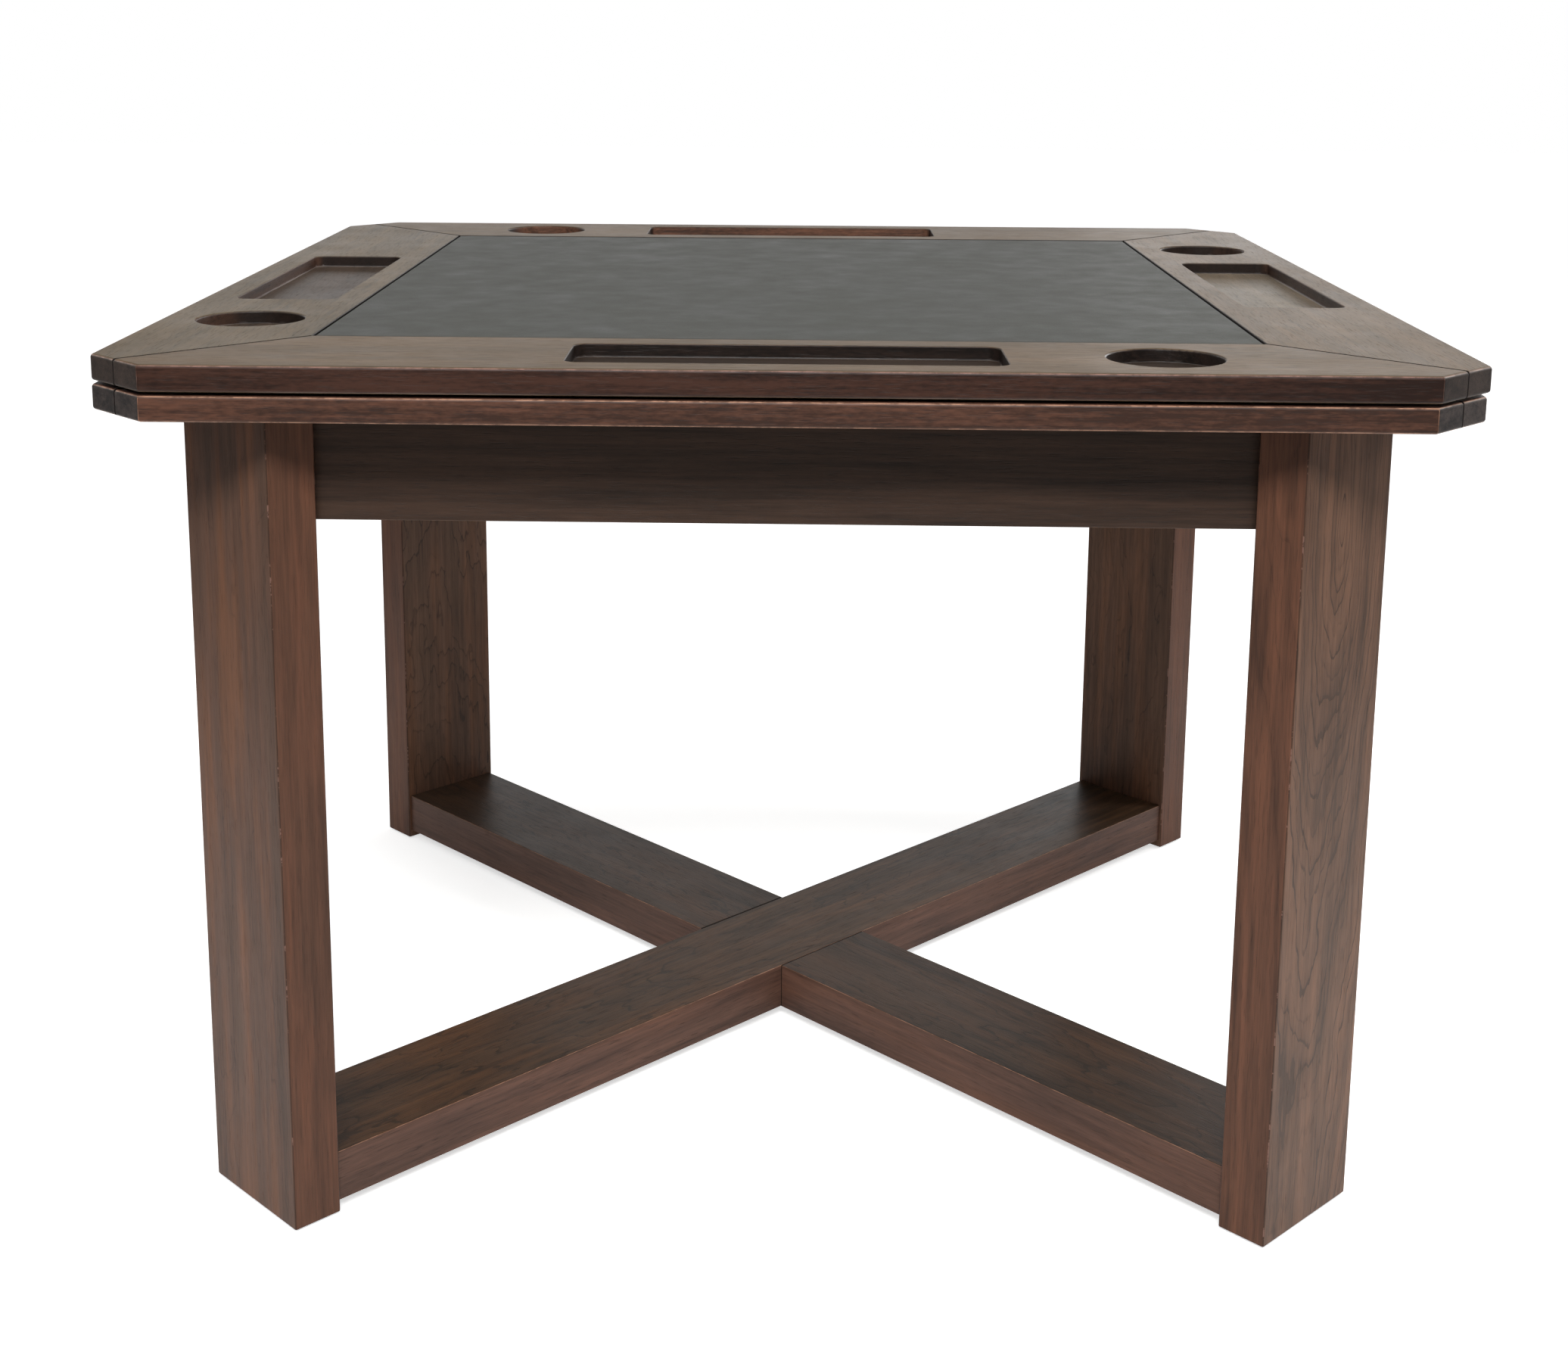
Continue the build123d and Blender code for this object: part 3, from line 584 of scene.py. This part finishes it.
def rolled_lines(half, roll, spacing):
    """Where the leather's lines of points cross one axis, and how far each has dropped at the rolled edge."""
    inside = half - roll
    steps = round(2 * inside / spacing)
    flat = [(-inside + 2 * inside * i / steps, 0.0) for i in range(steps + 1)]
    bend = []
    for i in range(1, 4):
        turn = math.radians(90) * i / 4
        bend.append((inside + roll * math.sin(turn), roll * (1 - math.cos(turn))))
    return [(-x, drop) for x, drop in reversed(bend)] + flat + bend


def leather_mesh(middle, half, top, thickness):
    """A stretched sheet with a faint ripple, rolled over at its rim, and the skirt that hangs from it."""
    roll, skin, swell = 2.2 * MM, 0.15 * MM, 0.12 * MM
    mesh = bmesh.new()
    lines = rolled_lines(half, roll, 16 * MM)
    rows = []
    for y, drop_y in lines:
        row = []
        for x, drop_x in lines:
            wide = noise.noise(Vector((x * 9, y * 9, 4.2)))
            narrow = noise.noise(Vector((x * 31, y * 31, 1.7)))
            z = top - skin - max(drop_x, drop_y) - swell * (wide + 0.5 * narrow)
            row.append(mesh.verts.new((middle.x + x, middle.y + y, z)))
        rows.append(row)
    for a, b in zip(rows, rows[1:]):
        for i in range(len(a) - 1):
            mesh.faces.new((a[i], a[i + 1], b[i + 1], b[i]))
    rim = [e for e in mesh.edges if e.is_boundary]
    for depth in (roll, 5 * MM, 8 * MM, thickness - 0.3 * MM):
        grown = bmesh.ops.extrude_edge_only(mesh, edges=rim)["geom"]
        points = [g for g in grown if isinstance(g, bmesh.types.BMVert)]
        rim = [g for g in grown if isinstance(g, bmesh.types.BMEdge) and g.is_boundary]
        for point in points:
            point.co.x = middle.x + max(-half, min(half, (point.co.x - middle.x) * 1.01))
            point.co.y = middle.y + max(-half, min(half, (point.co.y - middle.y) * 1.01))
            point.co.z = top - depth
    bmesh.ops.recalc_face_normals(mesh, faces=mesh.faces)
    data = bpy.data.meshes.new("leather_cover")
    mesh.to_mesh(data)
    mesh.free()
    for face in data.polygons:
        face.use_smooth = True
    return data


def make_leather():
    """The leather over its foam, which rolls over the board's edges into the gap round it."""
    low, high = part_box("playing_surface")
    half = (high.x - low.x) / 2 + 1.2 * MM
    data = leather_mesh((low + high) / 2, half, high.z, high.z - low.z)
    cover = bpy.data.objects.new("leather_cover", data)
    bpy.context.scene.collection.objects.link(cover)
    smooth = cover.modifiers.new("smooth", "SUBSURF")
    smooth.levels = smooth.render_levels = 2
    data.materials.append(leather())
    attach(cover, "game_top")
    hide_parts("playing_surface")


# ---- Floor, light and camera ----
WHITE = rgb(1.0, 1.0, 1.0)
FLOOR_GLOW, FLOOR_GLOW_SEEN = 0.12, 0.64
SURROUND_LIGHT, SURROUND_SHOWN = 0.045, 1.0


def make_floor():
    """A pale floor that glows a little near the table, and glows more to the eye than it lights, which lifts
    the table's shadow on it and pales it into the white surround.
    """
    reach, near, far = 14.0, 1.0, 2.6
    data = bpy.data.meshes.new("floor")
    corners = [(-reach, -reach, 0), (reach, -reach, 0), (reach, reach, 0), (-reach, reach, 0)]
    data.from_pydata(corners, [], [(0, 1, 2, 3)])
    floor = bpy.data.objects.new("floor", data)
    bpy.context.scene.collection.objects.link(floor)
    t = Tree("pale_floor")
    away = t.vector("LENGTH", t.coordinates())
    seen = t.add("ShaderNodeLightPath").outputs["Is Camera Ray"]
    glow = t.math("MULTIPLY", t.fade(away, near, far, 1.0, 0.0), FLOOR_GLOW)
    # Painted light: the floor's glow seen by the camera, which lifts its shadows.
    glow_seen = t.fade(away, near, far, FLOOR_GLOW_SEEN, 1.0)
    data.materials.append(t.finish(
        Base_Color=t.mix(t.fade(away, near, far), rgb(0.86, 0.86, 0.85), rgb(0.25, 0.25, 0.25)),
        Roughness=0.9,
        Specular_IOR_Level=0.0,
        Emission_Color=WHITE,
        Emission_Strength=t.mix(seen, t.grey(glow), t.grey(glow_seen)),
    ))


def make_world():
    """A white surround, dimmer in what it lights than it looks."""
    world = bpy.data.worlds.new("studio")
    bpy.context.scene.world = world
    world.use_nodes = True
    tree = world.node_tree
    soft = tree.nodes["Background"]
    seen = tree.nodes.new("ShaderNodeBackground")
    for background, strength in ((soft, SURROUND_LIGHT), (seen, SURROUND_SHOWN)):
        background.inputs["Color"].default_value = WHITE
        background.inputs["Strength"].default_value = strength
    path = tree.nodes.new("ShaderNodeLightPath")
    choose = tree.nodes.new("ShaderNodeMixShader")
    tree.links.new(path.outputs["Is Camera Ray"], choose.inputs["Fac"])
    tree.links.new(soft.outputs[0], choose.inputs[1])
    tree.links.new(seen.outputs[0], choose.inputs[2])
    tree.links.new(choose.outputs[0], tree.nodes["World Output"].inputs["Surface"])


def softbox(name, place, target, size, power):
    """A large rectangular light that points at a target."""
    light = bpy.data.lights.new(name, "AREA")
    light.shape = "RECTANGLE"
    light.size, light.size_y = size
    light.energy = power
    lamp = bpy.data.objects.new(name, light)
    lamp.location = place
    aim = Vector(target) - Vector(place)
    lamp.rotation_euler = aim.to_track_quat("-Z", "Y").to_euler()
    lamp.visible_camera = False
    bpy.context.scene.collection.objects.link(lamp)


def make_lights():
    """A ceiling of light, a key high in front, and low panels behind whose sheen lies along the top."""
    softbox("overhead", (0, 0, 3.2), (0, 0, 0.7), (3.6, 3.6), 56)
    softbox("front_key", (0, -3.2, 3.0), (0, 0, 0.5), (2.4, 0.8), 126)
    softbox("high_left", (-3.2, 0.2, 2.6), (0, 0, 0.5), (1.0, 1.0), 10)
    softbox("high_right", (3.2, 0.2, 2.6), (0, 0, 0.5), (1.0, 1.0), 41)
    softbox("back_band", (0, 4.4, 1.3), (0, 0, 0.7), (4.4, 1.6), 26)
    softbox("back_left", (-3.4, 3.2, 1.3), (0, 0, 0.7), (2.4, 1.6), 23)
    softbox("back_right", (3.4, 3.2, 1.3), (0, 0, 0.7), (2.4, 1.6), 104)
    softbox("back_strip", (1.7, 4.2, 1.0), (1.7, 0, 0.9), (1.6, 0.9), 8.5)


def make_camera():
    """A view of the table's front from just above its top, tilted down and shifted to hold it all."""
    data = bpy.data.cameras.new("camera")
    data.sensor_width = 36.0
    data.lens = 49.146
    data.shift_x, data.shift_y = 0.0222, -0.155
    camera = bpy.data.objects.new("camera", data)
    camera.location = (0.007, -2.1909, 1.0487)
    camera.rotation_euler = [math.radians(a) for a in (78.757, -0.319, 1.263)]
    bpy.context.scene.collection.objects.link(camera)
    bpy.context.scene.camera = camera


bpy.context.scene.view_settings.view_transform = "Standard"
make_camera()
make_floor()
make_world()
make_lights()
dress_frames()
dress_legs_and_stretchers()
dress_hidden_wood()
dress_small_parts()
make_leather()
